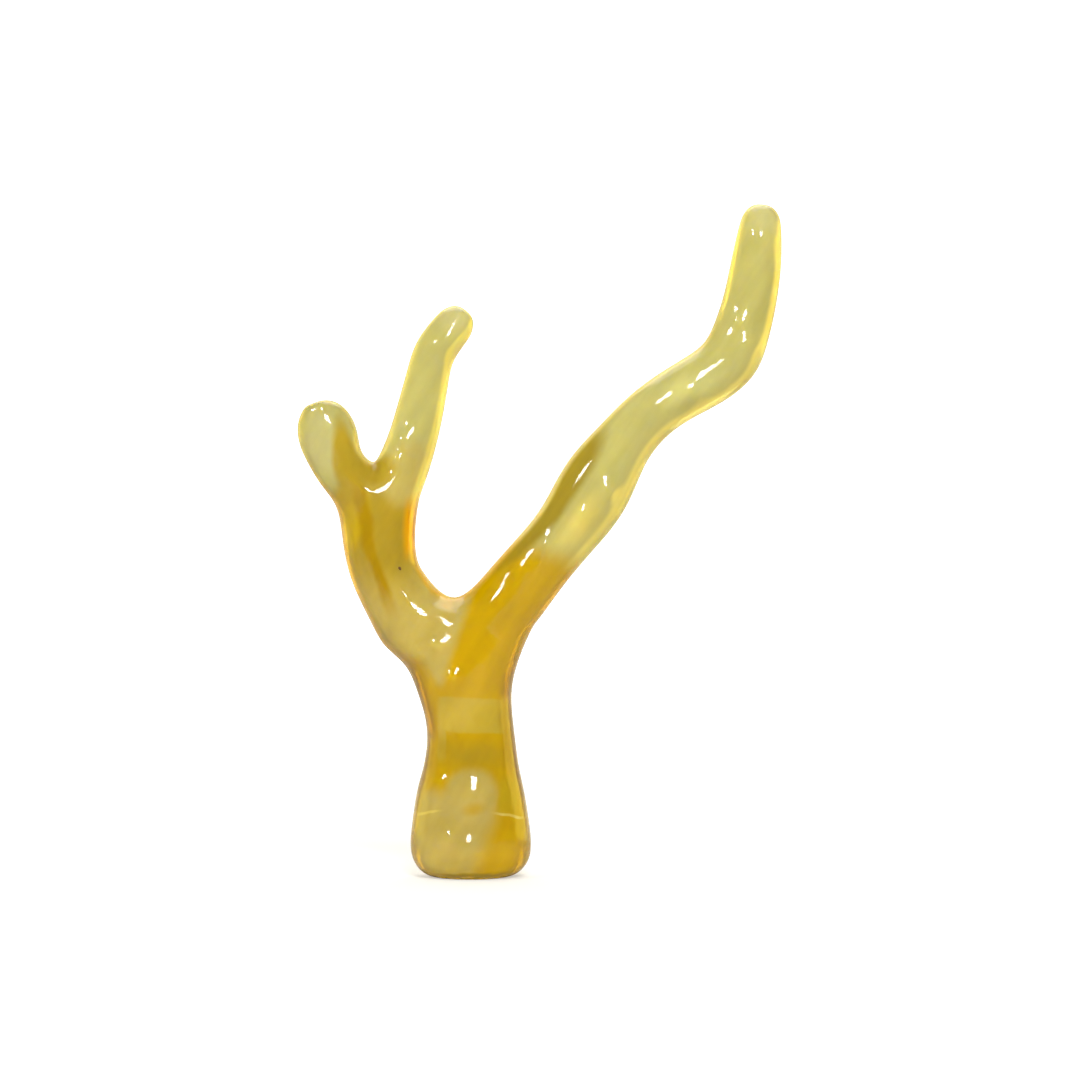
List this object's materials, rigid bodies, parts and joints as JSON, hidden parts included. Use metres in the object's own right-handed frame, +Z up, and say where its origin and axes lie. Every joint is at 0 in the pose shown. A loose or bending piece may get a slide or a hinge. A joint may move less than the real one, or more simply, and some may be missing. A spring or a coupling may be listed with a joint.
{
  "type": "staghorn coral branch ornament",
  "caption": "See-through honey-yellow ornament shaped like a staghorn coral branch, standing upright on a flared, flat-ground foot.",
  "frame": {"origin": "centre of the flat foot face, on the surface that the ornament stands on", "axes": "+Z up, the two limbs spread along X with the longer one towards +X, front faces -Y"},
  "size_m": [0.0719, 0.0172, 0.0998],
  "materials": {
    "golden_glass": "polished, milky golden amber, see-through at the edges",
    "pale_glass": "polished, pale yellow-green, see-through"
  },
  "bodies": {
    "root": {"trunk": "golden_glass", "left_limb": "golden_glass", "short_lobe": "pale_glass", "tall_prong": "pale_glass", "right_limb": "pale_glass"}
  },
  "joints": []
}
